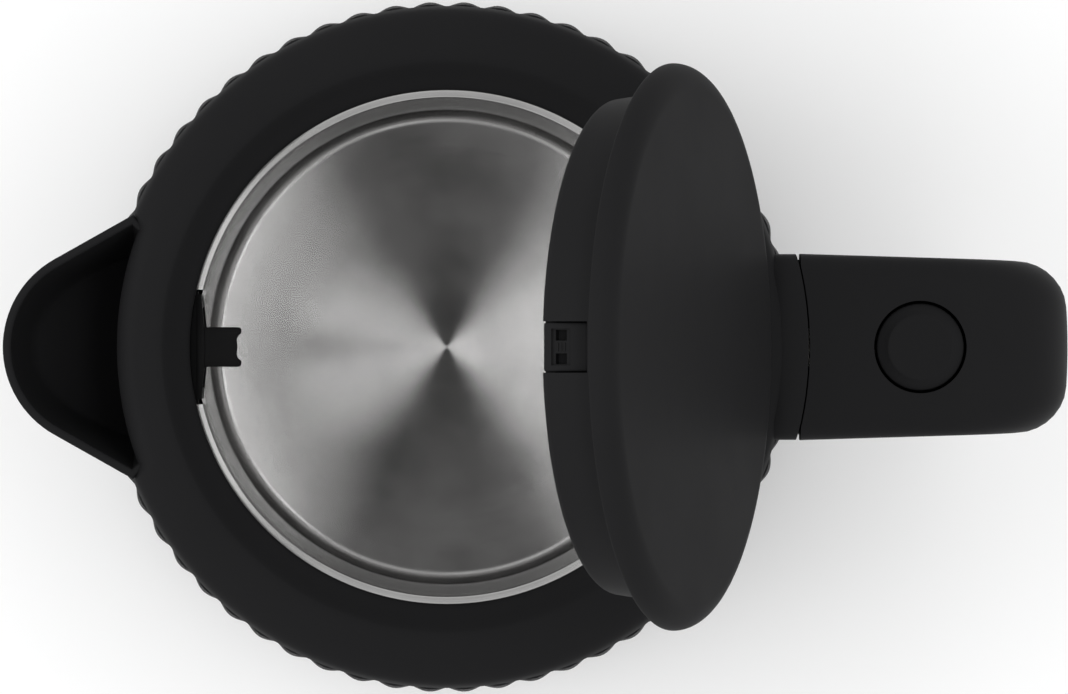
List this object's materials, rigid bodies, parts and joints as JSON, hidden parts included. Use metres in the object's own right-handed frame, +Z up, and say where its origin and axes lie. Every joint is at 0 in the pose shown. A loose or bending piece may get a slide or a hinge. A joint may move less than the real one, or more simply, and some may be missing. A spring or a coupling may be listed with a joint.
{
  "type": "electric kettle",
  "caption": "Cordless electric kettle with a fluted round body, steel inner pot, sprung lid with a release button on the handle, lift-out spout filter, power switch and swivel power base.",
  "frame": {"origin": "centre of the power base's underside, on the surface the kettle stands on", "axes": "+Z up along the kettle's axis, -X towards the spout, +X towards the handle"},
  "size_m": [0.2346, 0.158, 0.3541],
  "materials": {
    "shell_black": "fine matte grain",
    "lid_black": "fine matte grain",
    "handle_black": "fine matte grain",
    "base_black": "fine matte grain",
    "filter_black": "satin",
    "pot_steel": "brushed in circles",
    "mesh_steel": "woven wire",
    "element_steel": "drawn tube",
    "hardware_steel": "bright zinc",
    "heat_plate_aluminium": "cast, machined",
    "contact_brass": "plain",
    "foot_rubber": "matte",
    "seal_silicone": "matte, translucent white",
    "inner_plastic": "moulded"
  },
  "bodies": {
    "power_base": {"power_base_top": "base_black", "power_base_bottom": "base_black", "base_foot_1": "foot_rubber", "base_foot_2": "foot_rubber", "base_foot_3": "foot_rubber", "base_foot_4": "foot_rubber", "base_screw_1": "hardware_steel", "base_screw_2": "hardware_steel", "base_screw_3": "hardware_steel", "base_connector": "base_black", "contact_ring_live": "contact_brass", "contact_ring_neutral": "contact_brass", "cord_gland": "foot_rubber"},
    "swivel_pin": {"earth_pin": "contact_brass"},
    "kettle": {"outer_shell": "shell_black", "collar": "shell_black", "spout": "shell_black", "inner_pot": "pot_steel", "pot_gasket": "seal_silicone", "bottom_cover": "base_black", "bottom_screw_1": "hardware_steel", "bottom_screw_2": "hardware_steel", "bottom_screw_3": "hardware_steel", "connector_socket": "inner_plastic", "socket_contact_live": "contact_brass", "socket_contact_neutral": "contact_brass", "control_unit": "inner_plastic", "bimetal_disc": "contact_brass", "heat_plate": "heat_plate_aluminium", "heating_element": "element_steel", "steam_tube": "seal_silicone", "handle_outer_shell": "handle_black", "handle_inner_cover": "handle_black", "handle_screw_1": "hardware_steel", "handle_screw_2": "hardware_steel", "lid_hinge_pin": "hardware_steel", "lid_spring": "hardware_steel", "release_lever_pin": "hardware_steel", "button_spring": "hardware_steel", "latch_spring": "hardware_steel", "switch_pivot": "hardware_steel"},
    "lid": {"lid_cover": "lid_black", "lid_liner": "lid_black", "lid_front_insert": "lid_black", "lid_keeper": "hardware_steel"},
    "lid_button": {"lid_button": "handle_black"},
    "release_lever": {"release_lever": "inner_plastic"},
    "latch_slider": {"latch_slider": "inner_plastic"},
    "power_switch": {"switch_lever": "handle_black"},
    "filter": {"filter_frame": "filter_black", "filter_mesh": "mesh_steel"}
  },
  "joints": [
    {"name": "base_turn", "type": "hinge", "parent": "power_base", "child": "swivel_pin", "pos_m": [0, 0, 0.03], "axis": [0, 0, 1], "continuous": true},
    {"name": "lift_off", "type": "slide", "parent": "swivel_pin", "child": "kettle", "axis": [0, 0, 1], "range_m": [0, 0.08]},
    {"name": "lid_hinge", "type": "hinge", "parent": "kettle", "child": "lid", "pos_m": [0.066, 0, 0.2318], "axis": [0, 1, 0], "range_deg": [-72, 0], "stiffness_Nm_per_rad": 0.035, "springref_deg": 48.7},
    {"name": "button_press", "type": "slide", "parent": "kettle", "child": "lid_button", "axis": [0, 0, -1], "range_m": [0, 0.002], "stiffness_N_per_m": 300, "springref_m": -0.003, "deforming": ["button_spring"]},
    {"name": "lever_turn", "type": "hinge", "parent": "kettle", "child": "release_lever", "pos_m": [0.088, 0, 0.2171], "axis": [0, 1, 0], "range_deg": [0, 12]},
    {"name": "latch_slide", "type": "slide", "parent": "kettle", "child": "latch_slider", "axis": [1, 0, 0], "range_m": [0, 0.0018], "deforming": ["latch_spring"]},
    {"name": "switch_rock", "type": "hinge", "parent": "kettle", "child": "power_switch", "pos_m": [0.058, 0, 0.046], "axis": [0, 1, 0], "range_deg": [0, 9]},
    {"name": "filter_lift", "type": "slide", "parent": "kettle", "child": "filter", "axis": [0, 0, 1], "range_m": [0, 0.06]}
  ],
  "couplings": [
    {"joint": "lever_turn", "follows": "button_press", "rad_per_m": 100},
    {"joint": "latch_slide", "follows": "button_press", "ratio": 0.85}
  ]
}
